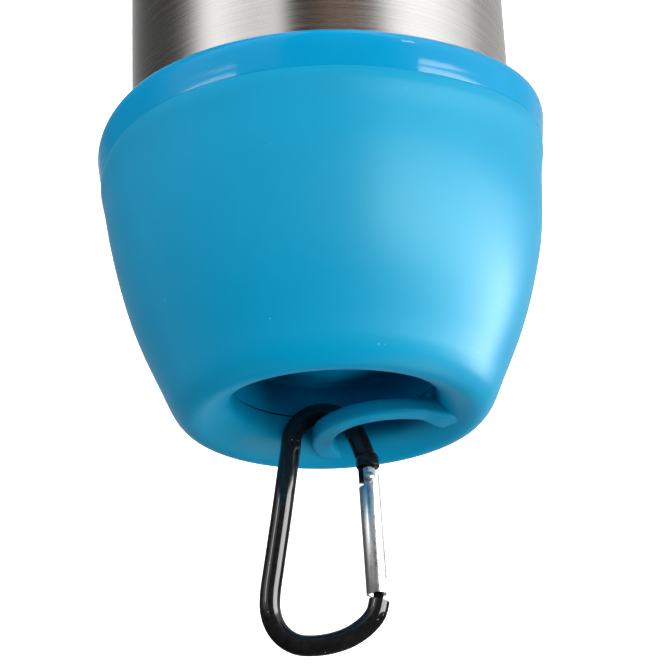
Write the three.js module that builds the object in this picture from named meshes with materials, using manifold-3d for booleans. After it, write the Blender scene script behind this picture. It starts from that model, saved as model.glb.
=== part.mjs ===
// Travel water bottle for small animals: a steel vacuum flask whose screw cap is a
// drinking bowl, with a strap-like loop in the cap's end and a small snap carabiner on it.
// Millimetres, +Z up. Origin: centre of the base, on the surface the bottle stands on.
import * as THREE from 'three';
import { mergeVertices, mergeGeometries } from 'three/addons/utils/BufferGeometryUtils.js';
import Module from 'manifold-3d';

const wasm = await Module();
wasm.setup();

// ---------------------------------------------------------------- driving dimensions
const SEG = 36;                 // facets round a turned part
const GAP = 0.3;                // air left between pieces that touch

const RIM_Z = 182;              // height of the bowl's widest ring above the base
const BODY_R = 37.75;           // steel body outside radius
const STEEL_T = 0.6;            // outer wall thickness
const FLASK_R = 34.7;           // inner flask outside radius
const FLASK_T = 0.5;            // inner flask thickness
const NECK_R = 21.9;            // neck outside radius
const NECK_TOP = 36.5;          // neck top above the rim plane
const THREAD_LEAD = 8;          // two-start thread, 8 mm per turn
const THREAD_R_OUT = 23.2;      // crest of the neck thread
const COLLAR_R = 23.8;          // bore of the cap's threaded collar
const COLLAR_OUT = 26.9;        // outside of the collar
const COLLAR_Z = 23.7;          // lower end of the collar above the rim plane
const COLLAR_CREST = 22.4;      // crest of the collar thread

const RIM_R = 44.5;             // widest radius of the glossy lip
const LIP_LOW = -2.65;          // lowest point of the lip, before its sweep
const EDGE_Z = 5.5;             // where the glossy lip ends and the matte shell begins
const EDGE_GAP = 0.12;          // seam between them
const SWEEP_LOW = 3.9, SWEEP_LOW_DEG = 70;     // the lip runs lower on the -X side
const SWEEP_HIGH = 1.6, SWEEP_HIGH_DEG = 50;   // and a little higher on the +X side
const PLATE_LOW = 38.9;         // underside of the cap's plate
const PLATE_TOP = 41.5;         // floor of the recess in the cap's end
const RECESS_R = 19.4;          // recess wall radius
const SEAM_Z = 48.6;            // seam between liner and shell in the recess wall
const CREST_Z = 56.75;          // highest ring of the cap, which it stands on when inverted

const BAR_CX = -11.9, BAR_CY = 16.6;   // centre of the loop bar's arc
const BAR_R = 14.45;            // middle radius of the bar
const BAR_W = 4.2;              // width of the bar
const BAR_Z0 = 52.4, BAR_Z1 = 55.6;    // lower and upper face of the bar

const CAR_Y = 15.2;             // plane of the carabiner
const WIRE_R = 2.0;             // carabiner wire radius
const EYE_X = 2.3, EYE_Z = 55.7, EYE_R = 6.4;  // small bend that wraps the loop bar
const PIVOT_X = -6.16, PIVOT_Z = 63.5;         // gate rivet
const GATE_TILT = -1.3 * Math.PI / 180;        // lean of the gate at rest
const GATE_OUT = 2.05, GATE_IN = 1.55, GATE_LEN = 22.9;
const RIVET_R = 0.5;

// ---------------------------------------------------------------- helpers
const bare = (g) => { g = g.clone(); g.deleteAttribute('normal'); g.deleteAttribute('uv'); return mergeVertices(g, 1e-5); };
const solid = (g) => {
  const m = g.index ? bare(g) : bare(g);
  return new wasm.Manifold(new wasm.Mesh({ numProp: 3,
    vertProperties: new Float32Array(m.attributes.position.array),
    triVerts: new Uint32Array(m.index.array) }));
};
const geom = (s) => {
  const m = s.getMesh();
  const g = new THREE.BufferGeometry();
  const p = new Float32Array(m.numVert * 3);
  for (let i = 0; i < m.numVert; i++) for (let k = 0; k < 3; k++) p[3 * i + k] = m.vertProperties[m.numProp * i + k];
  g.setAttribute('position', new THREE.BufferAttribute(p, 3));
  g.setIndex(new THREE.BufferAttribute(new Uint32Array(m.triVerts), 1));
  g.computeVertexNormals();
  return g;
};
// turned part: profile points [r, z] relative to dz, in either direction round the section
const turn = (pts, dz = 0, seg = SEG) => {
  let area = 0;
  for (let i = 0; i < pts.length; i++) {
    const [a, b] = pts[i], [c, d] = pts[(i + 1) % pts.length];
    area += a * d - c * b;
  }
  const p = (area < 0 ? [...pts].reverse() : pts).map(([r, z]) => new THREE.Vector2(r, z + dz));
  const closed = pts.every(([r]) => r > 1e-6);
  if (closed) p.push(p[0].clone());
  else {                                   // rotate the list so that it starts and ends on the axis
    let k = 0;
    const n = p.length;
    for (let i = 0; i < n; i++) if (p[i].x < 1e-6 && p[(i + n - 1) % n].x < 1e-6) k = i;
    const q = []; for (let i = 0; i < n; i++) q.push(p[(k + i) % n]);
    p.length = 0; p.push(...q);
  }
  const g = new THREE.LatheGeometry(p, seg);
  g.rotateX(Math.PI / 2);                  // axis Y -> Z
  return g;
};
const box = (x0, x1, y0, y1, z0, z1) => new THREE.BoxGeometry(x1 - x0, y1 - y0, z1 - z0)
  .translate((x0 + x1) / 2, (y0 + y1) / 2, (z0 + z1) / 2);
const rodY = (r, y0, y1, x, z, seg = 24) => new THREE.CylinderGeometry(r, r, y1 - y0, seg).translate(x, (y0 + y1) / 2, z);
const rodZ = (r, z0, z1, x = 0, y = 0, seg = 24) => new THREE.CylinderGeometry(r, r, z1 - z0, seg)
  .rotateX(Math.PI / 2).translate(x, y, (z0 + z1) / 2);
// ridge of a helical thread: section [dr, dz] swept up a right-hand helix, ends run out
const ridge = (rRoot, rCrest, zStart, turns, phase, wRoot, wCrest, steps = 32) => {
  const v = [], idx = [];
  for (let i = 0; i <= steps; i++) {
    const t = i / steps, a = phase + t * turns * 2 * Math.PI, z = zStart + t * turns * THREAD_LEAD;
    const f = Math.min(1, Math.min(t, 1 - t) * steps / 3 + 0.12);
    const rc = rRoot + (rCrest - rRoot) * f;
    const sec = [[rRoot, -wRoot / 2], [rc, -wCrest / 2], [rc, wCrest / 2], [rRoot, wRoot / 2]];
    for (const [r, dz] of sec) v.push(r * Math.cos(a), r * Math.sin(a), z + dz);
  }
  const inward = rCrest < rRoot;
  const tri = (a, b, c) => inward ? idx.push(a, c, b) : idx.push(a, b, c);
  for (let i = 0; i < steps; i++) for (let k = 0; k < 4; k++) {
    const a = 4 * i + k, b = 4 * i + (k + 1) % 4, c = a + 4, d = b + 4;
    tri(a, c, b); tri(b, c, d);
  }
  tri(0, 1, 2); tri(0, 2, 3);
  const e = 4 * steps; tri(e, e + 2, e + 1); tri(e, e + 3, e + 2);
  const g = new THREE.BufferGeometry();
  g.setAttribute('position', new THREE.BufferAttribute(new Float32Array(v), 3));
  g.setIndex(idx);
  return g;
};
// round bar along a curve through the points, as an extruded circle
const bar = (points, r, sides, steps) => {
  const curve = new THREE.CatmullRomCurve3(points, false, 'centripetal');
  const s = new THREE.Shape();
  for (let i = 0; i < sides; i++) {
    const a = 2 * Math.PI * (i + 0.5) / sides;
    i ? s.lineTo(r * Math.cos(a), r * Math.sin(a)) : s.moveTo(r * Math.cos(a), r * Math.sin(a));
  }
  s.closePath();
  return new THREE.ExtrudeGeometry(s, { steps, bevelEnabled: false, extrudePath: curve });
};

// ---------------------------------------------------------------- materials
const mat = (color, roughness, metalness) => new THREE.MeshStandardMaterial({ color, roughness, metalness });
const STEEL = mat(0xb4b1ad, 0.32, 1.0), STEEL_IN = mat(0xa9a9a8, 0.25, 1.0);
const BLUE_GLOSS = mat(0x0594d2, 0.12, 0.0), BLUE_MATTE = mat(0x0a93cc, 0.5, 0.0);
const BLACK = mat(0x0b0b0d, 0.16, 0.4), SATIN = mat(0xc6c8ca, 0.28, 1.0), SPRING = mat(0x8d8f92, 0.3, 1.0);
const SILICONE = mat(0xdfe3e3, 0.6, 0.0), GREY = mat(0x85888c, 0.5, 0.8);

const bottle = new THREE.Group();
const add = (name, g, m) => { const o = new THREE.Mesh(g, m); o.name = name; bottle.add(o); return o; };
const Z = RIM_Z;

// ---------------------------------------------------------------- steel flask
// outer wall: rolled foot, straight brushed side, shoulder and threaded neck
const shoulder = [[37.75, 2], [37.2, 6.2], [35.6, 10.6], [32.8, 14.8], [29.2, 18.2], [25.6, 20.8], [22.9, 22.6], [NECK_R, 24.2]];
const inside = (p, t) => p.map(([r, z], i) => {           // offset towards the axis and down
  const a = p[Math.max(0, i - 1)], b = p[Math.min(p.length - 1, i + 1)];
  const dx = b[0] - a[0], dz = b[1] - a[1], l = Math.hypot(dx, dz);
  return [r - t * dz / l, z + t * dx / l];
});
const outerLine = [[36.9, 0], [37.5, 0.35], [BODY_R, 1.1], [BODY_R, Z], ...shoulder.map(([r, z]) => [r, z + Z]), [NECK_R, Z + 35.6]];
const outerIn = [[NECK_R - STEEL_T, Z + 35.6], ...inside(shoulder, STEEL_T).reverse().map(([r, z]) => [r, z + Z]),
  [BODY_R - STEEL_T, Z - 1], [BODY_R - STEEL_T, 1.4], [36.6, STEEL_T + 0.05], [34.2, STEEL_T], [34.2, 0]];
let outer = solid(turn([...outerLine, ...outerIn]));
for (const k of [0, 1]) outer = outer.add(solid(ridge(NECK_R - 0.3, THREAD_R_OUT, Z + 26.2, 1, k * Math.PI, 1.9, 0.9)));
add('outer_wall', geom(outer), STEEL);

// inner flask: deep drawn, with a mouth flange that covers the outer neck's edge
const flaskOut = [[0, 6.4], [28, 6.4], [32.6, 7.9], [FLASK_R, 12], [FLASK_R, Z], [34.2, Z + 4.6], [32.8, Z + 8.4], [30.2, Z + 12], [26.6, Z + 15.3],
  [23, Z + 18.2], [21.3, Z + 20.6], [NECK_R - STEEL_T - GAP, Z + 23.4], [NECK_R - STEEL_T - GAP, Z + 35.9], [NECK_R, Z + 35.9], [NECK_R, Z + NECK_TOP]];
const flaskIn = [[20.4, Z + NECK_TOP], [20.4, Z + 23.2], [20.7, Z + 20.4], [22.6, Z + 17.7], [26.2, Z + 14.8], [29.8, Z + 11.6], [32.3, Z + 8.1],
  [33.7, Z + 4.4], [FLASK_R - FLASK_T, Z - 0.2], [FLASK_R - FLASK_T, 12.2], [32.2, 8.3], [27.8, 6.9], [0, 6.9]];
add('inner_wall', turn([...flaskOut, ...flaskIn]), STEEL_IN);

// pressed bottom cup that closes the vacuum space, its seal and getter, and the base cover
add('outer_bottom', turn([[0, 3.1], [29.5, 3.1], [33, 2.4], [36.8, 2.4], [36.8, 9], [36.3, 9], [36.3, 3.0], [33.2, 3.0], [29.7, 3.7], [0, 3.7]].map(([r, z]) => [r, z])), STEEL_IN);
add('getter', turn([[0, 4.1], [9, 4.1], [9, 5.3], [8.2, 5.8], [0, 5.8]], 0, 24), GREY);
add('vacuum_seal', turn([[0, 1.9], [3.2, 1.9], [3.6, 2.3], [3.6, 2.8], [0, 2.8]], 0, 20), GREY);
add('base_plate', turn([[0, 1.0], [30.5, 1.0], [33.6, 0.9], [36.4, 0.95], [36.4, 1.6], [33.6, 1.55], [30.5, 1.6], [0, 1.6]], 0), STEEL);

// ---------------------------------------------------------------- gasket
add('mouth_gasket', turn([[18.9, Z + 36.8], [22.9, Z + 36.8], [22.9, Z + 38.6], [18.9, Z + 38.6]]), SILICONE);

// ---------------------------------------------------------------- cap: bowl liner
// outside of the matte shell, from its lower edge over the crest and into the recess
const shellOut = [[43.8, EDGE_Z + EDGE_GAP], [43.92, 6.1], [43.9, 7.1], [43.6, 9], [43.2, 11.4], [42.15, 19], [40.6, 26.6], [38.55, 34.2], [36.55, 39.9], [34.55, 44.65],
  [32.85, 48.45], [31.9, 50.65], [30.95, 52.9], [29.75, 54.9], [28.4, 56.15], [27.1, CREST_Z], [25.75, CREST_Z], [24.3, 56.05], [22.8, 55.35],
  [21.2, 54.45], [20.15, 53.6], [19.57, 52.65], [RECESS_R, 51.8], [RECESS_R, SEAM_Z + GAP]];
const shellIn = [[22.1, SEAM_Z + GAP], [22.1, 51.6], [23.2, 53.1], [26, 53.9], [27.8, 53.3], [29, 51.6], [30.4, 48.3], [32.15, 44.4], [34.15, 39.6],
  [36.2, 34], [38.25, 26.5], [39.8, 19], [40.85, 11.4], [41.2, 8.6], [41.3, EDGE_Z + EDGE_GAP]];

// glossy lip, bowl wall, plate, wall of the recess below the seam and the threaded collar
const linerOut = [[41.9, LIP_LOW], [43.3, -2.25], [44.2, -1.25], [RIM_R, 0.1], [44.35, 2.1], [44.02, 4.3], [43.8, EDGE_Z], [41.0, EDGE_Z], [40.85, 8.6], [40.5, 11.4], [39.45, 19],
  [37.9, 26.5], [35.85, 34], [33.8, 39.3], [32.6, PLATE_TOP], [22, PLATE_TOP], [22, SEAM_Z], [RECESS_R, SEAM_Z], [RECESS_R, PLATE_TOP], [0, PLATE_TOP]];
const linerIn = [[0, PLATE_LOW], [COLLAR_R, PLATE_LOW], [COLLAR_R, COLLAR_Z], [COLLAR_OUT, COLLAR_Z], [COLLAR_OUT, 37.6], [28.2, PLATE_LOW],
  [30.2, PLATE_LOW], [31.8, 38.0], [33.6, 33.6], [35.7, 26], [37.2, 19], [38.3, 11], [38.9, 4.5], [39.5, 0.1], [40.6, -2.05]];

// the lip isn't level: its edge dips on the -X side, where the bowl pours, and rises slightly opposite
const fade = (t) => { const c = Math.min(1, Math.max(0, t)); return c * c * (3 - 2 * c); };
const sweepLip = (v) => {
  const h = v[2] - Z, r = Math.hypot(v[0], v[1]);
  if (h > 24 || r < 30) return;
  const w = 1 - fade((h - 8) / 15);
  const a = Math.acos(Math.max(-1, Math.min(1, v[0] / r))) * 180 / Math.PI;
  const low = 0.5 * (1 + Math.cos(Math.PI * Math.min(1, (180 - a) / SWEEP_LOW_DEG)));
  const high = 0.5 * (1 + Math.cos(Math.PI * Math.min(1, a / SWEEP_HIGH_DEG)));
  const k = 1 - 0.010 * w * low;
  v[0] *= k; v[1] *= k;
  v[2] += w * (SWEEP_HIGH * high - SWEEP_LOW * low);
};
let liner = solid(turn([...linerOut, ...linerIn], Z));
for (const k of [0, 1]) liner = liner.add(solid(ridge(COLLAR_R + 0.3, COLLAR_CREST, Z + 24.9, 1, k * Math.PI - (3.3 / THREAD_LEAD) * 2 * Math.PI, 1.9, 0.9)));
add('bowl_liner', geom(liner.warp(sweepLip)), BLUE_GLOSS);

// ---------------------------------------------------------------- cap: outer shell with the loop bar
const ringShape = (ri, ro, n = 40) => {
  const s = new THREE.Shape();
  for (let i = 0; i < n; i++) { const a = 2 * Math.PI * i / n; i ? s.lineTo(ro * Math.cos(a), ro * Math.sin(a)) : s.moveTo(ro * Math.cos(a), ro * Math.sin(a)); }
  s.closePath();
  const h = new THREE.Path();
  for (let i = 0; i < n; i++) { const a = -2 * Math.PI * i / n; i ? h.lineTo(ri * Math.cos(a), ri * Math.sin(a)) : h.moveTo(ri * Math.cos(a), ri * Math.sin(a)); }
  h.closePath();
  s.holes.push(h);
  return s;
};
const chamfer = 0.8;
const barSection = [[BAR_R - BAR_W / 2 + chamfer, BAR_Z0], [BAR_R + BAR_W / 2 - chamfer, BAR_Z0], [BAR_R + BAR_W / 2, BAR_Z0 + chamfer],
  [BAR_R + BAR_W / 2, BAR_Z1 - chamfer], [BAR_R + BAR_W / 2 - chamfer, BAR_Z1], [BAR_R - BAR_W / 2 + chamfer, BAR_Z1],
  [BAR_R - BAR_W / 2, BAR_Z1 - chamfer], [BAR_R - BAR_W / 2, BAR_Z0 + chamfer]];
const loopRing = solid(turn(barSection, Z, 40).translate(BAR_CX, BAR_CY, 0));
const recessPlug = solid(rodZ(22.3, Z + 40, Z + 60, 0, 0, SEG));      // keeps the bar inside the recess, rooted in its wall
const shell = solid(turn([...shellOut, ...shellIn], Z)).warp(sweepLip).add(loopRing.intersect(recessPlug));
add('cap_shell', geom(shell), BLUE_MATTE);

// ---------------------------------------------------------------- carabiner frame
const V = (x, z) => new THREE.Vector3(x, CAR_Y, z + Z);
const eye = [];
for (let i = 0; i <= 8; i++) {                       // small bend, from the gate side round to the spine side
  const a = Math.PI * (1.12 + (2.0 - 1.12) * i / 8);
  eye.push(V(EYE_X + EYE_R * Math.cos(a), EYE_Z + EYE_R * Math.sin(a)));
}
const spine = [V(-5.62, 58.4), V(-4.75, 55.8), ...eye,
  V(9.45, 60.4), V(11.05, 70.4), V(12.75, 80.4), V(13.55, 85.4), V(13.65, 88.6), V(12.9, 91.5), V(11.2, 93.9), V(8.7, 95.4), V(5.8, 95.75), V(2.2, 95.4),
  V(-1.5, 94.2), V(-4.7, 92.0), V(-6.35, 89.9), V(-7.0, 87.6)];
let frame = solid(bar(spine, WIRE_R, 12, 56));
// gate axis frame: origin at the rivet, +Z along the gate
const gateM = new THREE.Matrix4().makeTranslation(PIVOT_X, CAR_Y, PIVOT_Z + Z).multiply(new THREE.Matrix4().makeRotationY(GATE_TILT));
const inGate = (g) => solid(g.applyMatrix4(gateM));
frame = frame.add(inGate(rodZ(2.25, -4.9, -2.4)));                     // collar below the gate
const tang = new THREE.Shape();                                        // flat tongue with a shoulder and the cam corner on the inner side
tang.moveTo(-1.1, -3.2); tang.lineTo(1.95, -3.2); tang.lineTo(1.95, 0.45); tang.lineTo(1.1, 0.5); tang.lineTo(1.1, 0.95); tang.lineTo(0.95, 1.1); tang.lineTo(0, 1.1);
for (let i = 1; i <= 6; i++) tang.lineTo(-1.1 * Math.sin(i * Math.PI / 12), 1.1 * Math.cos(i * Math.PI / 12));
tang.closePath();
const tangG = new THREE.ExtrudeGeometry(tang, { depth: 1.3, bevelEnabled: false }).translate(0, 0, -0.65).rotateX(Math.PI / 2);
frame = frame.add(inGate(tangG)).subtract(inGate(rodY(RIVET_R + GAP, -3, 3, 0, 0)));
// nose: end face, and the flat neck that the gate's open end closes over
const noseTop = GATE_LEN + 0.45;
frame = frame.subtract(inGate(box(-6, 3.6, -4, 4, GATE_LEN - 4.5, noseTop)));
frame = frame.add(inGate(box(-1.1, 0.7, -0.6, 0.6, GATE_LEN - 2.4, noseTop + 1.2)));
add('carabiner_frame', geom(frame), BLACK);

// ---------------------------------------------------------------- gate
let sleeve = solid(rodZ(GATE_OUT, -2.05, GATE_LEN, 0, 0, 24));
sleeve = sleeve.subtract(solid(rodZ(GATE_IN, -3, 15.4, 0, 0, 24))).subtract(solid(rodZ(GATE_IN, 17.4, 30, 0, 0, 24)));
sleeve = sleeve.subtract(solid(rodY(RIVET_R + 0.25, -4, 4, 0, 0, 16)));
const round = solid(rodY(2.05, -4, 4, 0, 0, 28)).add(solid(box(-4, 4, -4, 4, 0, 30)));
sleeve = sleeve.intersect(round);                                      // hinge end turned round the rivet
sleeve = sleeve.subtract(solid(box(1.0, 4, -4, 4, -4, 1.5)));          // inner wall cut back for the tongue
sleeve = sleeve.subtract(solid(box(-4, 1.2, -0.95, 0.95, GATE_LEN - 3.2, 30)));   // slot that lets the neck out
add('gate_sleeve', geom(sleeve).applyMatrix4(gateM), SATIN);

const rivet = solid(rodY(RIVET_R, -2.7, 2.7, 0, 0, 16)).add(solid(rodY(0.95, 2.3, 2.7, 0, 0, 16))).add(solid(rodY(0.95, -2.7, -2.3, 0, 0, 16)));
add('gate_rivet', geom(rivet).applyMatrix4(gateM), SATIN);
add('gate_plunger', turn([[0, 1.45], [0.9, 1.45], [1.2, 1.75], [1.2, 5.2], [0, 5.2]], 0, 16).applyMatrix4(gateM), SPRING);

const turnsN = 8, coil = [];
class Helix extends THREE.Curve {
  getPoint(t, o = new THREE.Vector3()) {
    const a = t * turnsN * 2 * Math.PI;
    return o.set(0.9 * Math.cos(a), 0.9 * Math.sin(a), 5.75 + t * 9.1);
  }
}
const ws = new THREE.Shape();
for (let i = 0; i < 6; i++) { const a = Math.PI / 3 * i; i ? ws.lineTo(0.22 * Math.cos(a), 0.22 * Math.sin(a)) : ws.moveTo(0.22, 0); }
ws.closePath();
add('gate_spring', new THREE.ExtrudeGeometry(ws, { steps: 72, bevelEnabled: false, extrudePath: new Helix() }).applyMatrix4(gateM), SPRING);

export default bottle;
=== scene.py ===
import math

import bmesh
import bpy
import numpy as np
from mathutils import Matrix, Vector


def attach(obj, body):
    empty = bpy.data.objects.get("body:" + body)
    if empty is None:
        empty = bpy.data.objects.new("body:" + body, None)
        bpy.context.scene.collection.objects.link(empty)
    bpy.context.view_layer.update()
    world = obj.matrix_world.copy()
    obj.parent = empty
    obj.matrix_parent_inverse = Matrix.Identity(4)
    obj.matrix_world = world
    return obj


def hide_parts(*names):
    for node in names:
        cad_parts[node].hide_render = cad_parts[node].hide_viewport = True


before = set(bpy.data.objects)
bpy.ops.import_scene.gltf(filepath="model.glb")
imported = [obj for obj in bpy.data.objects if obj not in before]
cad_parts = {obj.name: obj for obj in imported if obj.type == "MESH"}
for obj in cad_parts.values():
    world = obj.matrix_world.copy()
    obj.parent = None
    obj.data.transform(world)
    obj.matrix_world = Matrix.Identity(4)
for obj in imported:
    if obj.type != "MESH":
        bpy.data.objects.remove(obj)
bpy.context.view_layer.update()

MM = 0.001
Z0 = 182.0            # rim plane of the bowl above the base, mm
scene = bpy.context.scene

# ------------------------------------------------------------------ camera
K = 0.95
ELEV = math.radians(23.178)
ROLL = math.radians(-2.475)
DIST = 412.955 * K
LENS = 2049.0 / 665 * 36
TX, TZ = -0.354, 40.686 * K
back = Vector((0, -math.cos(ELEV), math.sin(ELEV)))
target = Vector((TX, 0, TZ + Z0))
eye_at = (target + back * DIST) * MM
right = Vector((1, 0, 0))
up = right.cross(-back)
r2 = right * math.cos(ROLL) + up * math.sin(ROLL)
u2 = up * math.cos(ROLL) - right * math.sin(ROLL)
cam_data = bpy.data.cameras.new("camera")
cam_data.sensor_width = 36
cam_data.lens = LENS
cam_data.clip_start = 0.01
cam_data.clip_end = 50
cam = bpy.data.objects.new("camera", cam_data)
scene.collection.objects.link(cam)
m = Matrix.Identity(4)
for i in range(3):                      # the bottle is seen upside down
    m[i][0], m[i][1], m[i][2], m[i][3] = -r2[i], -u2[i], back[i], eye_at[i]
cam.matrix_world = m
scene.camera = cam


# ------------------------------------------------------------------ node helpers
def material(name):
    mt = bpy.data.materials.new(name)
    mt.use_nodes = True
    nt = mt.node_tree
    return mt, nt, nt.nodes["Principled BSDF"]


def node(nt, kind, inputs=None, **props):
    n = nt.nodes.new(kind)
    for k, v in props.items():
        setattr(n, k, v)
    for k, v in (inputs or {}).items():
        if isinstance(v, bpy.types.NodeSocket):
            nt.links.new(v, n.inputs[k])
        else:
            n.inputs[k].default_value = v
    return n


def math_node(nt, op, a, b=None, c=None, clamp=False):
    n = nt.nodes.new("ShaderNodeMath")
    n.operation = op
    n.use_clamp = clamp
    for i, v in enumerate((a, b, c)):
        if v is None:
            continue
        if isinstance(v, bpy.types.NodeSocket):
            nt.links.new(v, n.inputs[i])
        else:
            n.inputs[i].default_value = v
    return n.outputs[0]


def ramp(nt, fac, stops, interp="LINEAR"):
    n = nt.nodes.new("ShaderNodeValToRGB")
    n.color_ramp.interpolation = interp
    el = n.color_ramp.elements
    el[0].position, el[1].position = stops[0][0], stops[-1][0]
    for p, _ in stops[1:-1]:
        el.new(p)
    for e, (p, c) in zip(sorted(el, key=lambda e: e.position), stops):
        e.color = (*c, 1) if len(c) == 3 else c
    nt.links.new(fac, n.inputs[0])
    return n.outputs[0]


def scaled(nt, x, y, z):
    co = nt.nodes.new("ShaderNodeTexCoord")
    mp = nt.nodes.new("ShaderNodeMapping")
    mp.inputs["Scale"].default_value = (x, y, z)
    nt.links.new(co.outputs["Object"], mp.inputs["Vector"])
    return mp.outputs[0]


def mix_rgb(nt, fac, a, b, mode="MIX"):
    n = nt.nodes.new("ShaderNodeMix")
    n.data_type = "RGBA"
    n.blend_type = mode
    for i, v in ((0, fac), (6, a), (7, b)):
        if isinstance(v, bpy.types.NodeSocket):
            nt.links.new(v, n.inputs[i])
        else:
            n.inputs[i].default_value = v if i == 0 else (*v, 1)
    return n.outputs[2]


# ------------------------------------------------------------------ materials
def brushed_steel(name, base=(0.62, 0.605, 0.59), rough=0.24, streak=1.0):
    mt, nt, bs = material(name)
    bs.inputs["Metallic"].default_value = 1.0
    bs.inputs["Anisotropic"].default_value = 0.65
    bs.inputs["Anisotropic Rotation"].default_value = 0.25
    # long fine scratches that run round the body, in three widths
    fine = node(nt, "ShaderNodeTexNoise", {"Vector": scaled(nt, 22, 22, 9000), "Scale": 1.0, "Detail": 3.0, "Roughness": 0.6})
    mid = node(nt, "ShaderNodeTexNoise", {"Vector": scaled(nt, 14, 14, 3400), "Scale": 1.0, "Detail": 2.0, "Roughness": 0.55})
    wide = node(nt, "ShaderNodeTexNoise", {"Vector": scaled(nt, 9, 9, 520), "Scale": 1.0, "Detail": 2.0, "Roughness": 0.5})
    s = math_node(nt, "ADD", math_node(nt, "MULTIPLY", fine.outputs[0], 0.45), math_node(nt, "MULTIPLY", mid.outputs[0], 0.4))
    s = math_node(nt, "ADD", s, math_node(nt, "MULTIPLY", wide.outputs[0], 0.15))
    d = 0.09 * streak
    lo = tuple(max(0, c - d) for c in base)
    hi = tuple(min(1, c + d) for c in base)
    nt.links.new(ramp(nt, s, [(0.36, lo), (0.5, base), (0.64, hi)]), bs.inputs["Base Color"])
    rr = node(nt, "ShaderNodeMapRange", {"Value": s, "From Min": 0.35, "From Max": 0.65, "To Min": rough - 0.05 * streak, "To Max": rough + 0.08 * streak})
    nt.links.new(rr.outputs[0], bs.inputs["Roughness"])
    bp = node(nt, "ShaderNodeBump", {"Strength": 0.22 * streak, "Distance": 0.00003, "Height": s})
    nt.links.new(bp.outputs[0], bs.inputs["Normal"])
    tg = node(nt, "ShaderNodeTangent", direction_type="RADIAL", axis="Z")
    nt.links.new(tg.outputs[0], bs.inputs["Tangent"])
    return mt


def blue_shell():
    mt, nt, bs = material("blue_satin")
    v = scaled(nt, 1, 1, 1)
    grain = node(nt, "ShaderNodeTexNoise", {"Vector": v, "Scale": 5200.0, "Detail": 3.0, "Roughness": 0.6})
    cloud = node(nt, "ShaderNodeTexNoise", {"Vector": v, "Scale": 60.0, "Detail": 3.0, "Roughness": 0.5})
    c = ramp(nt, cloud.outputs[0], [(0.3, (0.0, 0.196, 0.362)), (0.7, (0.0, 0.206, 0.378))])
    # pale dust specks, very sparse
    vor = node(nt, "ShaderNodeTexVoronoi", {"Vector": v, "Scale": 420.0})
    size = node(nt, "ShaderNodeTexNoise", {"Vector": v, "Scale": 170.0, "Detail": 1.0})
    sp = math_node(nt, "MULTIPLY", math_node(nt, "LESS_THAN", vor.outputs["Distance"], 0.07), math_node(nt, "GREATER_THAN", size.outputs[0], 0.655))
    c = mix_rgb(nt, math_node(nt, "MULTIPLY", sp, 0.18), c, (0.55, 0.72, 0.82))
    nt.links.new(c, bs.inputs["Base Color"])
    rr = node(nt, "ShaderNodeMapRange", {"Value": grain.outputs[0], "From Min": 0.3, "From Max": 0.7, "To Min": 0.33, "To Max": 0.39})
    nt.links.new(rr.outputs[0], bs.inputs["Roughness"])
    bs.inputs["IOR"].default_value = 1.5
    bs.inputs["Specular IOR Level"].default_value = 0.12
    bs.inputs["Specular Tint"].default_value = (0.74, 0.95, 0.62, 1.0)
    bp = node(nt, "ShaderNodeBump", {"Strength": 0.10, "Distance": 0.00004, "Height": grain.outputs[0]})
    nt.links.new(bp.outputs[0], bs.inputs["Normal"])
    return mt


def blue_gloss():
    mt, nt, bs = material("blue_gloss")
    v = scaled(nt, 1, 1, 1)
    cloud = node(nt, "ShaderNodeTexNoise", {"Vector": v, "Scale": 45.0, "Detail": 2.0})
    c = ramp(nt, cloud.outputs[0], [(0.3, (0.0, 0.186, 0.370)), (0.7, (0.0, 0.197, 0.390))])
    nt.links.new(c, bs.inputs["Base Color"])
    wave = node(nt, "ShaderNodeTexNoise", {"Vector": v, "Scale": 130.0, "Detail": 1.0})
    rr = node(nt, "ShaderNodeMapRange", {"Value": cloud.outputs[0], "From Min": 0.3, "From Max": 0.7, "To Min": 0.07, "To Max": 0.12})
    nt.links.new(rr.outputs[0], bs.inputs["Roughness"])
    bs.inputs["IOR"].default_value = 1.5
    bs.inputs["Specular IOR Level"].default_value = 0.16
    bp = node(nt, "ShaderNodeBump", {"Strength": 0.05, "Distance": 0.0002, "Height": wave.outputs[0]})
    nt.links.new(bp.outputs[0], bs.inputs["Normal"])
    return mt


def black_gloss():
    mt, nt, bs = material("black_gloss")
    v = scaled(nt, 1, 1, 1)
    n1 = node(nt, "ShaderNodeTexNoise", {"Vector": v, "Scale": 900.0, "Detail": 3.0})
    c = ramp(nt, n1.outputs[0], [(0.35, (0.0035, 0.0035, 0.004)), (0.68, (0.008, 0.008, 0.009))])
    vor = node(nt, "ShaderNodeTexVoronoi", {"Vector": v, "Scale": 650.0})
    gate = node(nt, "ShaderNodeTexNoise", {"Vector": v, "Scale": 260.0, "Detail": 0.0})
    sp = math_node(nt, "MULTIPLY", math_node(nt, "LESS_THAN", vor.outputs["Distance"], 0.08), math_node(nt, "GREATER_THAN", gate.outputs[0], 0.66))
    c = mix_rgb(nt, math_node(nt, "MULTIPLY", sp, 0.35), c, (0.5, 0.52, 0.55))
    nt.links.new(c, bs.inputs["Base Color"])
    rr = node(nt, "ShaderNodeMapRange", {"Value": n1.outputs[0], "From Min": 0.3, "From Max": 0.7, "To Min": 0.10, "To Max": 0.16})
    nt.links.new(rr.outputs[0], bs.inputs["Roughness"])
    bs.inputs["IOR"].default_value = 1.55
    bs.inputs["Specular IOR Level"].default_value = 0.3
    bs.inputs["Coat Weight"].default_value = 0.25
    bs.inputs["Coat Roughness"].default_value = 0.06
    bp = node(nt, "ShaderNodeBump", {"Strength": 0.06, "Distance": 0.00005, "Height": n1.outputs[0]})
    nt.links.new(bp.outputs[0], bs.inputs["Normal"])
    return mt


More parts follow.
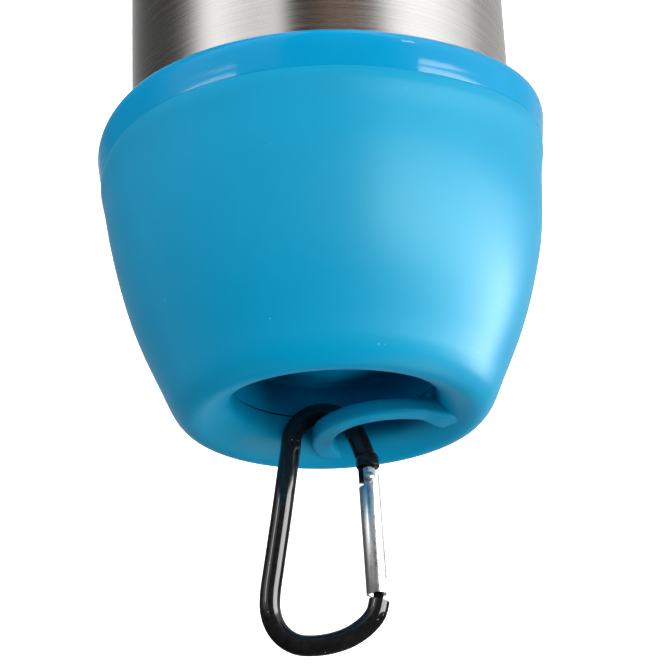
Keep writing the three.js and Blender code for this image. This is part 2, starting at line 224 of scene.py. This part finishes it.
def satin_metal(name, base=(0.76, 0.77, 0.78), rough=0.24, along=(1500, 1500, 60), aniso=0.4):
    mt, nt, bs = material(name)
    bs.inputs["Metallic"].default_value = 1.0
    bs.inputs["Anisotropic"].default_value = aniso
    n1 = node(nt, "ShaderNodeTexNoise", {"Vector": scaled(nt, *along), "Scale": 1.0, "Detail": 3.0})
    blot = node(nt, "ShaderNodeTexNoise", {"Vector": scaled(nt, 1, 1, 1), "Scale": 700.0, "Detail": 2.0})
    s = math_node(nt, "ADD", math_node(nt, "MULTIPLY", n1.outputs[0], 0.6), math_node(nt, "MULTIPLY", blot.outputs[0], 0.4))
    lo = tuple(c * 0.86 for c in base)
    hi = tuple(min(1, c * 1.08) for c in base)
    nt.links.new(ramp(nt, s, [(0.35, lo), (0.5, base), (0.65, hi)]), bs.inputs["Base Color"])
    rr = node(nt, "ShaderNodeMapRange", {"Value": s, "From Min": 0.35, "From Max": 0.65, "To Min": rough - 0.05, "To Max": rough + 0.08})
    nt.links.new(rr.outputs[0], bs.inputs["Roughness"])
    bp = node(nt, "ShaderNodeBump", {"Strength": 0.12, "Distance": 0.00003, "Height": s})
    nt.links.new(bp.outputs[0], bs.inputs["Normal"])
    return mt


def silicone():
    mt, nt, bs = material("silicone")
    n1 = node(nt, "ShaderNodeTexNoise", {"Vector": scaled(nt, 1, 1, 1), "Scale": 900.0, "Detail": 2.0})
    nt.links.new(ramp(nt, n1.outputs[0], [(0.3, (0.70, 0.72, 0.72)), (0.7, (0.78, 0.80, 0.80))]), bs.inputs["Base Color"])
    bs.inputs["Roughness"].default_value = 0.45
    bs.inputs["Subsurface Weight"].default_value = 0.2
    bs.inputs["Subsurface Scale"].default_value = 0.002
    bp = node(nt, "ShaderNodeBump", {"Strength": 0.08, "Distance": 0.00005, "Height": n1.outputs[0]})
    nt.links.new(bp.outputs[0], bs.inputs["Normal"])
    return mt


M_STEEL = brushed_steel("steel_brushed")
M_PLAIN = satin_metal("steel_plain", (0.60, 0.60, 0.60), 0.22, (40, 40, 900), 0.3)
M_SHELL, M_GLOSS, M_BLACK = blue_shell(), blue_gloss(), black_gloss()
M_GATE = satin_metal("gate_aluminium", (0.72, 0.73, 0.74), 0.30)
M_SPRING = satin_metal("spring_steel", (0.5, 0.5, 0.51), 0.28, (900, 900, 900), 0.0)
M_GETTER = satin_metal("getter_grey", (0.33, 0.34, 0.35), 0.5, (900, 900, 900), 0.0)
M_RUBBER = silicone()


# ------------------------------------------------------------------ mesh helpers
def crom(points, n, closed=False):
    """Centripetal Catmull-Rom through points, resampled to n even steps."""
    P = np.array(points, float)
    if closed:
        P = np.vstack([P[-1], P, P[0], P[1]])
    else:
        P = np.vstack([2 * P[0] - P[1], P, 2 * P[-1] - P[-2]])
    out = []
    for i in range(1, len(P) - 2):
        p0, p1, p2, p3 = P[i - 1], P[i], P[i + 1], P[i + 2]
        t0 = 0.0
        t1 = t0 + max(np.linalg.norm(p1 - p0), 1e-9) ** 0.5
        t2 = t1 + max(np.linalg.norm(p2 - p1), 1e-9) ** 0.5
        t3 = t2 + max(np.linalg.norm(p3 - p2), 1e-9) ** 0.5
        for t in np.linspace(t1, t2, 24, endpoint=False):
            a1 = (t1 - t) / (t1 - t0) * p0 + (t - t0) / (t1 - t0) * p1
            a2 = (t2 - t) / (t2 - t1) * p1 + (t - t1) / (t2 - t1) * p2
            a3 = (t3 - t) / (t3 - t2) * p2 + (t - t2) / (t3 - t2) * p3
            b1 = (t2 - t) / (t2 - t0) * a1 + (t - t0) / (t2 - t0) * a2
            b2 = (t3 - t) / (t3 - t1) * a2 + (t - t1) / (t3 - t1) * a3
            out.append((t2 - t) / (t2 - t1) * b1 + (t - t1) / (t2 - t1) * b2)
    out.append(P[-2])
    out = np.array(out)
    s = np.r_[0, np.cumsum(np.linalg.norm(np.diff(out, axis=0), axis=1))]
    q = np.linspace(0, s[-1], n)
    return np.stack([np.interp(q, s, out[:, k]) for k in range(out.shape[1])], -1)


def rounded(points, r, n=5, closed=True):
    """Polyline with each listed corner replaced by an arc of about radius r (a number, or one per point)."""
    P = [np.array(p, float) for p in points]
    R = [r] * len(P) if np.isscalar(r) else list(r)
    out = []
    for i, p in enumerate(P):
        if (not closed and i in (0, len(P) - 1)) or R[i] <= 0:
            out.append(p)
            continue
        a, b = P[i - 1] - p, P[(i + 1) % len(P)] - p
        la, lb = np.linalg.norm(a), np.linalg.norm(b)
        a, b = a / la, b / lb
        cosang = np.clip(a @ b, -1, 1)
        if cosang < -0.985:
            out.append(p)
            continue
        d = min(R[i] / math.tan(math.acos(cosang) / 2), la * 0.45, lb * 0.45)
        s, e = p + a * d, p + b * d
        for t in np.linspace(0, 1, n + 1):
            out.append((1 - t) ** 2 * s + 2 * t * (1 - t) * p + t * t * e)
    return out


def finish_mesh(name, verts, faces, mat, sharp=40):
    me = bpy.data.meshes.new(name)
    me.from_pydata([tuple(float(c) * MM for c in v) for v in verts], [], faces)
    me.update()
    bm = bmesh.new()
    bm.from_mesh(me)
    bmesh.ops.remove_doubles(bm, verts=bm.verts, dist=1e-7)
    bmesh.ops.recalc_face_normals(bm, faces=bm.faces)
    if bm.calc_volume(signed=True) < 0:
        bmesh.ops.reverse_faces(bm, faces=bm.faces)
    for f in bm.faces:
        f.smooth = True
    for e in bm.edges:
        e.smooth = len(e.link_faces) == 2 and e.calc_face_angle(0) < math.radians(sharp)
    bm.to_mesh(me)
    bm.free()
    me.materials.append(mat)
    o = bpy.data.objects.new(name, me)
    scene.collection.objects.link(o)
    return o


def lip_sweep(x, y, z):
    """The lip's edge dips on the -X side, where the bowl pours, and rises slightly opposite."""
    h, r = z - Z0, math.hypot(x, y)
    if h > 24 or r < 30:
        return x, y, z
    t = min(1.0, max(0.0, (h - 8) / 15))
    w = 1 - t * t * (3 - 2 * t)
    a = math.degrees(math.acos(max(-1.0, min(1.0, x / r))))
    low = 0.5 * (1 + math.cos(math.pi * min(1.0, (180 - a) / 70)))
    high = 0.5 * (1 + math.cos(math.pi * min(1.0, a / 50)))
    k = 1 - 0.010 * w * low
    return x * k, y * k, z + w * (1.6 * high - 3.9 * low)


def lathe(name, prof, seg, mat, dz=0.0, sharp=40, warp=None):
    """Turned solid from a closed profile of [r, z]."""
    p = [(float(r), float(z) + dz) for r, z in prof]
    n = len(p)
    verts, ring = [], []
    for r, z in p:
        if r < 1e-6:
            ring.append([len(verts)] * seg)
            verts.append((0, 0, z))
        else:
            ring.append(list(range(len(verts), len(verts) + seg)))
            for k in range(seg):
                a = 2 * math.pi * k / seg
                v = (r * math.cos(a), r * math.sin(a), z)
                verts.append(warp(*v) if warp else v)
    faces = []
    for i in range(n):
        A, B = ring[i], ring[(i + 1) % n]
        if A[0] == A[1] and B[0] == B[1]:
            continue
        for k in range(seg):
            j = (k + 1) % seg
            f = []
            for v in (A[k], A[j], B[j], B[k]):
                if v not in f:
                    f.append(v)
            if len(f) > 2:
                faces.append(f)
    return finish_mesh(name, verts, faces, mat, sharp)


def sweep(name, path, section, mat, normal=None, scale=None, sharp=40):
    """Section [u, v] swept along path; u runs along the side vector, v along the fixed normal."""
    P = np.array(path, float)
    T = np.gradient(P, axis=0)
    T /= np.linalg.norm(T, axis=1)[:, None]
    V = np.array(normal, float)
    verts, m = [], len(section)
    for i, (p, t) in enumerate(zip(P, T)):
        u = np.cross(V, t)
        u /= np.linalg.norm(u)
        k = (1.0, 1.0) if scale is None else scale[i]
        for a, b in section:
            verts.append(p + u * a * k[0] + V * b * k[1])
    faces = []
    for i in range(len(P) - 1):
        for k in range(m):
            j = (k + 1) % m
            faces.append((i * m + k, i * m + j, (i + 1) * m + j, (i + 1) * m + k))
    faces.append(tuple(range(m))[::-1])
    faces.append(tuple((len(P) - 1) * m + k for k in range(m)))
    return finish_mesh(name, verts, faces, mat, sharp)


def ridge(name, r_root, r_crest, z_start, phase, w_root, w_crest, lead=8.0, turns=1.0, steps=220):
    verts, faces = [], []
    sec0 = rounded([(0, -w_root / 2), (1, -w_crest / 2), (1, w_crest / 2), (0, w_root / 2)], [0, 0.25, 0.25, 0], 4)
    m = len(sec0)
    for i in range(steps + 1):
        t = i / steps
        a, z = phase + t * turns * 2 * math.pi, z_start + t * turns * lead
        f = min(1.0, min(t, 1 - t) * 11 + 0.1)
        f = f * f * (3 - 2 * f)
        for q, dz in sec0:
            r = r_root + (r_crest - r_root) * q * f
            verts.append((r * math.cos(a), r * math.sin(a), z + dz * (0.6 + 0.4 * f)))
    for i in range(steps):
        for k in range(m):
            j = (k + 1) % m
            faces.append((i * m + k, i * m + j, (i + 1) * m + j, (i + 1) * m + k))
    faces.append(tuple(range(m))[::-1])
    faces.append(tuple(steps * m + k for k in range(m)))
    return finish_mesh(name, verts, faces, M_STEEL)


def boolean(a, b, op):
    md = a.modifiers.new("b", "BOOLEAN")
    md.operation, md.object, md.solver = op, b, "EXACT"
    apply_all(a)
    bpy.data.objects.remove(b)
    return a


def apply_all(o):
    bpy.context.view_layer.update()
    dg = bpy.context.evaluated_depsgraph_get()
    me = bpy.data.meshes.new_from_object(o.evaluated_get(dg))
    o.modifiers.clear()
    old = o.data
    o.data = me
    me.name = o.name
    if old.users == 0:
        bpy.data.meshes.remove(old)
    return o


def soften(o, width, segs=3, angle=35, sharp=60):
    """Rounds the edges of a cut piece."""
    bm = bmesh.new()
    bm.from_mesh(o.data)
    bmesh.ops.remove_doubles(bm, verts=bm.verts, dist=2e-6)
    bmesh.ops.dissolve_degenerate(bm, edges=bm.edges, dist=2e-6)
    bm.to_mesh(o.data)
    bm.free()
    md = o.modifiers.new("bevel", "BEVEL")
    md.width, md.segments, md.limit_method, md.angle_limit = width * MM, segs, "ANGLE", math.radians(angle)
    md.use_clamp_overlap = True
    apply_all(o)
    bm = bmesh.new()
    bm.from_mesh(o.data)
    for f in bm.faces:
        f.smooth = True
    for e in bm.edges:
        e.smooth = len(e.link_faces) == 2 and e.calc_face_angle(0) < math.radians(sharp)
    bm.to_mesh(o.data)
    bm.free()
    return o


def join(a, *others):
    """Puts the meshes of others into a as separate closed shells."""
    bm = bmesh.new()
    bm.from_mesh(a.data)
    for o in others:
        bm.from_mesh(o.data)
    bm.to_mesh(a.data)
    bm.free()
    for o in others:
        bpy.data.objects.remove(o)
    return a


def place(o, body, slot, *nodes):
    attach(o, body)
    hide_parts(*nodes)
    return o


def arc(cx, cz, r, a0, a1, n):
    return [(cx + r * math.cos(t), cz + r * math.sin(t)) for t in np.linspace(math.radians(a0), math.radians(a1), n)]


# ------------------------------------------------------------------ steel flask
shoulder = [(37.75, 2), (37.2, 6.2), (35.6, 10.6), (32.8, 14.8), (29.2, 18.2), (25.6, 20.8), (22.9, 22.6), (21.9, 24.2)]
sh = crom([(37.75, -3), *shoulder, (21.9, 27)], 90)
side = [(37.75, z) for z in np.linspace(4 - Z0, -6, 30)]
foot = [(36.9, -Z0), *arc(36.65, -Z0 + 1.1, 1.1, -80, -8, 9)][:]
inner_sh = crom([(37.15, -6), (37.1, 1.6), (36.55, 5.9), (35.0, 10.1), (32.3, 14.2), (28.8, 17.6), (25.2, 20.2), (22.4, 22.0), (21.3, 24.0), (21.3, 28)], 60)[::-1]
prof = [*foot, *side, *sh, (21.9, 35.45), (21.75, 35.6), (21.3, 35.6), *inner_sh, (37.15, 1.4 - Z0), (36.6, 0.65 - Z0), (34.2, 0.6 - Z0), (34.0, 0.3 - Z0), (34.2, -Z0)]
body = lathe("bottle_body", prof, 256, M_STEEL, Z0)
threads = [ridge("r%d" % k, 21.7, 23.2, Z0 + 26.2, k * math.pi, 1.7, 0.9) for k in (0, 1)]
join(body, *threads)
place(body, "bottle", "steel_brushed", "outer_wall")

fo = crom([(28, 6.4), (32.6, 7.9), (34.7, 12), (34.7, 30)], 40)
fi = crom([(34.2, 30), (34.2, 12.2), (32.2, 8.3), (27.8, 6.9)], 40)
so = crom([(34.7, 178), (34.6, 182.6), (34.1, 186.6), (32.8, 190.4), (30.2, 194), (26.6, 197.3), (23, 200.2), (21.35, 202.6), (21.0, 205.6), (21.0, 208)], 70)
si = crom([(20.4, 208), (20.4, 205.3), (20.75, 202.3), (22.6, 199.7), (26.2, 196.8), (29.8, 193.6), (32.3, 190.1), (33.6, 186.4), (34.1, 182.2), (34.2, 178)], 70)
lipm = [(21.0, 217.9), (21.9, 217.9), *arc(21.62, 218.22, 0.28, -10, 90, 6), *arc(20.68, 218.22, 0.28, 90, 180, 6)]
flask = lathe("flask_liner", [(0, 6.4), *fo, *so, *lipm, *si, *fi, (0, 6.9)], 160, M_PLAIN)
place(flask, "bottle", "steel_plain", "inner_wall")

base = lathe("base_cover", rounded([(0, 1.0), (29.6, 1.0), (30.6, 1.25), (33.0, 1.25), (33.8, 0.95), (36.4, 0.95), (36.4, 1.6), (33.6, 1.62), (0, 1.62)], [0, .5, .5, .5, .5, .2, .2, .3, 0]), 160, M_STEEL)
place(base, "bottle", "steel_brushed", "base_plate")

gk = lathe("gasket_ring", rounded([(18.9, 36.8), (22.9, 36.8), (22.9, 38.6), (18.9, 38.6)], 0.5, 6), 160, M_RUBBER, Z0)
place(gk, "gasket", "silicone", "mouth_gasket")

for n, mt in (("outer_bottom", M_PLAIN), ("getter", M_GETTER), ("vacuum_seal", M_GETTER)):
    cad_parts[n].data.materials.clear()
    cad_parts[n].data.materials.append(mt)

# ------------------------------------------------------------------ cap: bowl liner
lip = crom([(38.9, 4.5), (39.5, 0.1), (40.5, -1.95), (41.9, -2.65), (43.25, -2.2), (44.15, -1.15), (44.5, 0.15), (44.35, 2.2), (44.05, 4.2)], 70)
outer_edge = rounded([(44.05, 4.2), (43.87, 5.5), (41.0, 5.5), (40.85, 8.6)], [0, 0.035, 0.2, 0], 6, closed=False)[1:]
lout = crom([(40.85, 8.6), (40.5, 11.4), (39.45, 19), (37.9, 26.5), (35.85, 34), (33.8, 39.3)], 40)[1:]
lid = rounded([(33.8, 39.3), (32.6, 41.5), (22, 41.5), (22, 48.6), (19.4, 48.6), (19.4, 41.5), (0, 41.5)], [0, 0.5, 0.4, 0.2, 0.2, 1.2, 0], 6, closed=False)[1:]
lin = rounded([(0, 38.9), (23.8, 38.9), (23.8, 23.7), (26.9, 23.7), (26.9, 37.6), (28.2, 38.9), (30.2, 38.9), (31.8, 38.0), (33.6, 33.6)], [0, 0.8, 0.6, 0.6, 1.2, 0.8, 1.5, 1.5, 0], 6, closed=False)[:-1]
lin2 = crom([(33.6, 33.6), (35.7, 26), (37.2, 19), (38.3, 11), (38.9, 4.5)], 40)[:-1]
bowl = lathe("drinking_bowl", [*lip, *outer_edge, *lout, *lid, *lin, *lin2], 320, M_GLOSS, Z0, warp=lip_sweep)
ph = (3.3 / 8) * 2 * math.pi
join(bowl, *[ridge("c%d" % k, 24.0, 22.4, Z0 + 24.9, k * math.pi - ph, 1.7, 0.9) for k in (0, 1)])
bowl.data.materials.clear()
bowl.data.materials.append(M_GLOSS)
for p in bowl.data.polygons:
    p.material_index = 0
place(bowl, "cap", "blue_gloss", "bowl_liner")

# ------------------------------------------------------------------ cap: shell with the loop bar
curve = crom([(43.92, 6.4), (43.87, 7.5), (43.62, 9), (43.2, 11.4), (42.15, 19), (40.6, 26.6), (38.55, 34.2), (36.55, 39.9), (34.55, 44.65), (32.85, 48.45),
              (31.9, 50.65), (30.95, 52.8), (29.75, 54.8), (28.3, 56.2), (26.9, 56.72), (25.4, 56.6), (24.1, 56.1), (22.7, 55.4), (21.2, 54.45), (20.15, 53.5), (19.6, 52.5), (19.4, 51.4), (19.4, 49.6)], 220)
edge0 = rounded([(41.3, 5.52), (43.87, 5.52), (43.92, 6.4)], [0, 0.035, 0], 6, closed=False)[:-1]
edge1 = rounded([(19.4, 49.6), (19.4, 48.9), (22.1, 48.9), (22.1, 51.6)], [0, 0.25, 0.25, 0], 6, closed=False)[1:]
sin_ = crom([(22.1, 51.6), (23.2, 53.1), (26, 53.9), (27.8, 53.3), (29, 51.6), (30.4, 48.3), (32.15, 44.4), (34.15, 39.6), (36.2, 34), (38.25, 26.5), (39.8, 19), (40.85, 11.4), (41.2, 8.6)], 70)[1:]
shell = lathe("cap_outer", [*edge0, *curve, *edge1, *sin_], 360, M_SHELL, Z0, warp=lip_sweep)

BX, BY, BR = -11.9, 16.6, 14.45
ang = np.linspace(math.radians(-136), math.radians(31), 150)
path, scl = [], []
for a in ang:
    x, y = BX + BR * math.cos(a), BY + BR * math.sin(a)
    z = 54.0
    path.append((x, y, z + Z0))
    rr = math.hypot(x, y)
    g = min(1.0, max(0.0, (rr - 17.2) / 4.2))      # the bar spreads where it grows out of the wall
    g = g * g * (3 - 2 * g)
    scl.append((1 + (0.42 if a < 0 else 0.0) * g, 1 + (0.30 if a < 0 else 0.10) * g))
section = rounded([(-2.1, -1.6), (2.1, -1.6), (2.1, 1.6), (-2.1, 1.6)], [1.0, 1.0, 0.95, 0.95], 8)
loop = sweep("loop", path, section, M_SHELL, normal=(0, 0, 1), scale=scl)
boolean(shell, loop, "UNION")
bm = bmesh.new()
bm.from_mesh(shell.data)
bmesh.ops.remove_doubles(bm, verts=bm.verts, dist=1e-6)
for f in bm.faces:
    f.smooth = True
for e in bm.edges:
    e.smooth = len(e.link_faces) == 2 and e.calc_face_angle(0) < math.radians(45)
bm.to_mesh(shell.data)
bm.free()
place(shell, "cap", "blue_matte", "cap_shell")

# ------------------------------------------------------------------ carabiner
CY = 15.2
eye = arc(2.3, 55.7, 6.4, 180 * 1.12, 360, 24)
spine = [(-5.62, 58.4), (-4.75, 55.8), *eye, (9.45, 60.4), (11.05, 70.4), (12.75, 80.4), (13.55, 85.4), (13.65, 88.6), (12.9, 91.5), (11.2, 93.9), (8.7, 95.4),
         (5.8, 95.75), (2.2, 95.4), (-1.5, 94.2), (-4.7, 92.0), (-6.35, 89.9), (-7.0, 87.6)]
sp = crom(spine, 260)
for _ in range(3):                      # takes the last unevenness out of the bend
    sp[1:-1] = (sp[:-2] + 2 * sp[1:-1] + sp[2:]) / 4
wire = sweep("wire", [(x, CY, z + Z0) for x, z in sp], [(2.0 * math.cos(a), 2.0 * math.sin(a)) for a in np.linspace(0, 2 * math.pi, 48, endpoint=False)],
             M_BLACK, normal=(0, 1, 0))

TILT = math.radians(-1.3)
GATE = Matrix.Translation(Vector((-6.16, CY, 63.5 + Z0)) * MM) @ Matrix.Rotation(TILT, 4, "Y")


def put(o):
    o.data.transform(GATE)
    return o


def rod_z(name, r, z0, z1, mat, seg=64, r1=None):
    return lathe(name, [(0, z0), (r, z0), (r if r1 is None else r1, z1), (0, z1)], seg, mat)


def rod_y(name, prof, mat, seg=48):
    o = lathe(name, prof, seg, mat)
    o.data.transform(Matrix.Rotation(math.radians(-90), 4, "X"))
    return o


def block(name, x0, x1, y0, y1, z0, z1, mat):
    v = [(x, y, z) for x in (x0, x1) for y in (y0, y1) for z in (z0, z1)]
    f = [(0, 1, 3, 2), (4, 6, 7, 5), (0, 4, 5, 1), (2, 3, 7, 6), (0, 2, 6, 4), (1, 5, 7, 3)]
    return finish_mesh(name, v, f, mat)


collar = put(lathe("collar", [(0, -5.1), (1.9, -5.1), (2.25, -4.5), (2.25, -2.62), (2.05, -2.4), (0, -2.4)], 64, M_BLACK))
boolean(wire, collar, "UNION")
LEN = 22.9
nose = LEN + 0.45
boolean(wire, put(block("cut", -6, 3.6, -4, 4, LEN - 4.5, nose, M_BLACK)), "DIFFERENCE")
boolean(wire, put(block("neck", -1.1, 0.7, -0.6, 0.6, LEN - 2.4, nose + 1.2, M_BLACK)), "UNION")
tg = [(-1.1, -3.2), (1.95, -3.2), (1.95, 0.45), (1.1, 0.5), (1.1, 0.95), (0.95, 1.1), (0.0, 1.1)] + [(-1.1 * math.sin(i * math.pi / 24), 1.1 * math.cos(i * math.pi / 24)) for i in range(1, 13)]
nv = len(tg)
tv = [(x, -0.65, z) for x, z in tg] + [(x, 0.65, z) for x, z in tg]
tf = [tuple(range(nv)), tuple(range(2 * nv - 1, nv - 1, -1))] + [(i, (i + 1) % nv, nv + (i + 1) % nv, nv + i) for i in range(nv)]
boolean(wire, put(finish_mesh("tongue", tv, tf, M_BLACK)), "UNION")
boolean(wire, put(rod_y("hole", [(0, -3), (0.8, -3), (0.8, 3), (0, 3)], M_BLACK, 32)), "DIFFERENCE")
wire.name = "carabiner_wire"
soften(wire, 0.13)
place(wire, "carabiner", "black_gloss", "carabiner_frame")

# gate: drawn tube, round at the hinge end, slotted where the neck leaves
sleeve = rod_z("sleeve", 2.05, -2.05, LEN, M_GATE, 96)
for a, b in ((-3, 15.4), (17.4, 30)):
    boolean(sleeve, rod_z("bore", 1.55, a, b, M_GATE, 96), "DIFFERENCE")
boolean(sleeve, rod_y("hole", [(0, -4), (0.75, -4), (0.75, 4), (0, 4)], M_GATE, 40), "DIFFERENCE")
keep = rod_y("keep", [(0, -4), (2.05, -4), (2.05, 4), (0, 4)], M_GATE, 96)
boolean(keep, block("up", -4, 4, -4.5, 4.5, 0, 30, M_GATE), "UNION")
boolean(sleeve, keep, "INTERSECT")
boolean(sleeve, block("back", 1.0, 4, -4, 4, -4, 1.5, M_GATE), "DIFFERENCE")
boolean(sleeve, block("slot", -4, 1.2, -0.95, 0.95, LEN - 3.2, 30, M_GATE), "DIFFERENCE")
put(sleeve)
sleeve.name = "gate_tube"
soften(sleeve, 0.10)
place(sleeve, "gate", "gate_aluminium", "gate_sleeve")

head = [(0, -2.72), (0.45, -2.68), (0.8, -2.52), (0.95, -2.3), (0.95, -2.12), (0.5, -2.12), (0.5, 2.12), (0.95, 2.12), (0.95, 2.3), (0.8, 2.52), (0.45, 2.68), (0, 2.72)]
rv = put(rod_y("gate_pin", head, M_GATE, 48))
place(rv, "gate", "gate_aluminium", "gate_rivet")

pl = put(lathe("plunger_pin", rounded([(0, 1.45), (0.9, 1.45), (1.2, 1.75), (1.2, 5.2), (0, 5.2)], [0, 0.3, 0.2, 0.2, 0]), 48, M_SPRING))
place(pl, "plunger", "spring_steel", "gate_plunger")

N = 8
hx = [(0.9 * math.cos(t * N * 2 * math.pi), 0.9 * math.sin(t * N * 2 * math.pi), 5.75 + 9.1 * t) for t in np.linspace(0, 1, 8 * 36 + 1)]
sv, sf, ns = [], [], 12
for i, (x, y, z) in enumerate(hx):
    a = i / (len(hx) - 1) * N * 2 * math.pi
    er, ez = np.array((math.cos(a), math.sin(a), 0)), np.array((0, 0, 1.0))
    for k in range(ns):
        b = 2 * math.pi * k / ns
        sv.append(np.array((x, y, z)) + 0.22 * (math.cos(b) * er + math.sin(b) * ez))
for i in range(len(hx) - 1):
    for k in range(ns):
        j = (k + 1) % ns
        sf.append((i * ns + k, i * ns + j, (i + 1) * ns + j, (i + 1) * ns + k))
sf.append(tuple(range(ns))[::-1])
sf.append(tuple((len(hx) - 1) * ns + k for k in range(ns)))
spring = put(finish_mesh("spring_coil", sv, sf, M_SPRING))
place(spring, "gate", "spring_steel", "gate_spring")

# ------------------------------------------------------------------ stage and light
fm, fnt, fbs = material("floor")
fn = node(fnt, "ShaderNodeTexNoise", {"Vector": scaled(fnt, 1, 1, 1), "Scale": 3.0, "Detail": 2.0})
fnt.links.new(ramp(fnt, fn.outputs[0], [(0.3, (0.88, 0.88, 0.88)), (0.7, (0.90, 0.90, 0.90))]), fbs.inputs["Base Color"])
fbs.inputs["Roughness"].default_value = 0.9
fbs.inputs["Emission Color"].default_value = (1, 1, 1, 1)
fbs.inputs["Emission Strength"].default_value = 0.82
fme = bpy.data.meshes.new("floor")
fme.from_pydata([(-6, -6, -0.0002), (6, -6, -0.0002), (6, 6, -0.0002), (-6, 6, -0.0002)], [], [(0, 1, 2, 3)])
fme.materials.append(fm)
floor = bpy.data.objects.new("floor", fme)
scene.collection.objects.link(floor)
floor.visible_glossy = False

world = bpy.data.worlds.new("studio")
scene.world = world
world.use_nodes = True
wt = world.node_tree
wt.nodes.clear()
tc = wt.nodes.new("ShaderNodeTexCoord")
sx = wt.nodes.new("ShaderNodeSeparateXYZ")
wt.links.new(tc.outputs["Generated"], sx.inputs[0])
# azimuth from the -Y side towards +X, as 0..1, and height as 0..1
th = math_node(wt, "ARCTAN2", sx.outputs[0], math_node(wt, "MULTIPLY", sx.outputs[1], -1.0))
azi = math_node(wt, "ADD", math_node(wt, "DIVIDE", th, 2 * math.pi), 0.5)
hgt = math_node(wt, "MULTIPLY_ADD", sx.outputs[2], 0.5, 0.5)


def by_azimuth(stops):
    return ramp(wt, azi, [((d + 180) / 360, v if isinstance(v, tuple) else (v, v, v)) for d, v in stops])


def by_height(stops):
    return ramp(wt, hgt, [(0.5 + 0.5 * math.sin(math.radians(e)), v if isinstance(v, tuple) else (v, v, v)) for e, v in stops])


# what polished things see near the floor: flats and gaps round the table
BAND = [(-180, 0.85), (-165, 0.7), (-156, 0.55), (-130, 0.50), (-114, 0.5), (-104, 0.95), (-75, 1.6), (-60, 1.65), (-51, 1.5), (-42, 0.95), (-36, 0.38),
        (-29, (0.16, 0.12, 0.095)), (-21, (0.17, 0.115, 0.09)), (-8, (0.17, 0.105, 0.075)), (5, (0.05, 0.03, 0.018)), (15, (0.05, 0.036, 0.026)), (19, 0.62), (23, 1.15), (38, 1.0),
        (49, 1.2), (63, 1.6), (72, 1.35), (79, 0.6), (86, 0.20), (96, 0.08), (110, 0.07), (129, 0.09), (142, 0.18), (152, 0.3), (165, 0.6), (180, 0.85)]
low = by_height([(-90, 1.0), (-16, 1.0), (-7, 0.0), (90, 0.0)])
rear = by_azimuth([(-180, 0.8), (-160, 0.7), (-145, 0.03), (0, 0.02), (140, 0.03), (158, 0.6), (180, 0.8)])
rear = mix_rgb(wt, 1.0, rear, by_height([(-90, 1.0), (-4, 1.0), (9, 0.4), (25, 0.3), (55, 0.08), (90, 0.04)]), "MULTIPLY")
glossy = mix_rgb(wt, low, rear, by_azimuth(BAND))
# what evens out on matt things: weak from overhead, strongest from the photographer's right
fill = mix_rgb(wt, 1.0, by_azimuth([(-180, 2.6), (-120, (4.2, 4.2, 3.4)), (-80, (4.6, 4.6, 3.6)), (-46, (8.8, 8.8, 7.6)), (-18, 9.2), (10, 3.8), (45, 1.9), (80, 1.8), (130, 2.2), (180, 2.6)]),
               by_height([(-90, 1.0), (6, 1.0), (13, 0.52), (20, 0.06), (28, 0.0), (90, 0.0)]), "MULTIPLY")
side = mix_rgb(wt, 1.0, by_azimuth([(-160, 0.0), (-140, 7.5), (-85, 7.5), (-62, 0.0), (70, 0.0), (90, 1.5), (130, 1.5), (150, 0.0)]), by_height([(32, 0.0), (40, 1.0), (64, 1.0), (71, 0.0)]), "MULTIPLY")
fill = mix_rgb(wt, 1.0, fill, side, "ADD")
lp = wt.nodes.new("ShaderNodeLightPath")
col = mix_rgb(wt, lp.outputs["Is Glossy Ray"], fill, glossy)
col = mix_rgb(wt, lp.outputs["Is Camera Ray"], col, (1.0, 1.0, 1.0))
bgn = wt.nodes.new("ShaderNodeBackground")
wt.links.new(col, bgn.inputs[0])
bgn.inputs[1].default_value = 1.0
outw = wt.nodes.new("ShaderNodeOutputWorld")
wt.links.new(bgn.outputs[0], outw.inputs[0])


def softbox(name, az0, az1, el0, el1, radiance, dist=0.9, aim=(0, 0, 0.2), diffuse=False):
    """Rectangular box between two azimuths (from -Y towards +X) and two heights, in degrees."""
    az, el = math.radians((az0 + az1) / 2), math.radians((el0 + el1) / 2)
    w = 2 * dist * math.tan(math.radians(abs(az1 - az0) / 2))
    h = 2 * dist * math.tan(math.radians(abs(el1 - el0) / 2))
    ld = bpy.data.lights.new(name, "AREA")
    ld.shape, ld.size, ld.size_y, ld.energy = "RECTANGLE", w, h, radiance * math.pi * w * h
    o = bpy.data.objects.new(name, ld)
    scene.collection.objects.link(o)
    aim = Vector(aim)
    o.location = aim + dist * Vector((math.sin(az) * math.cos(el), -math.cos(az) * math.cos(el), math.sin(el)))
    o.rotation_euler = (aim - o.location).to_track_quat("-Z", "Y").to_euler()
    o.visible_camera = False
    o.visible_diffuse = diffuse
    return o


satin = bpy.data.collections.new("satin_pieces")
satin.objects.link(shell)
gloss = bpy.data.collections.new("gloss_pieces")
gloss.objects.link(bowl)
softbox("box_right", -125, -25, -9, 15, 21.0).light_linking.receiver_collection = satin
softbox("box_lip", -91, -48, -16, -6, 17.0).light_linking.receiver_collection = gloss
metal = bpy.data.collections.new("metal_pieces")
for o in (wire, sleeve, rv):
    metal.objects.link(o)
softbox("box_metal", -98, -40, -24, 12, 11.5).light_linking.receiver_collection = metal
softbox("strip_left", 44, 54, -27, -12, 8.0).light_linking.receiver_collection = metal
softbox("box_left", 39, 68, -14, -8.5, 14.0).light_linking.receiver_collection = gloss
softbox("spark", -51, -46, -45, -41, 30.0)

scene.view_settings.view_transform = "Standard"
scene.view_settings.look = "None"

bpy.context.view_layer.update()
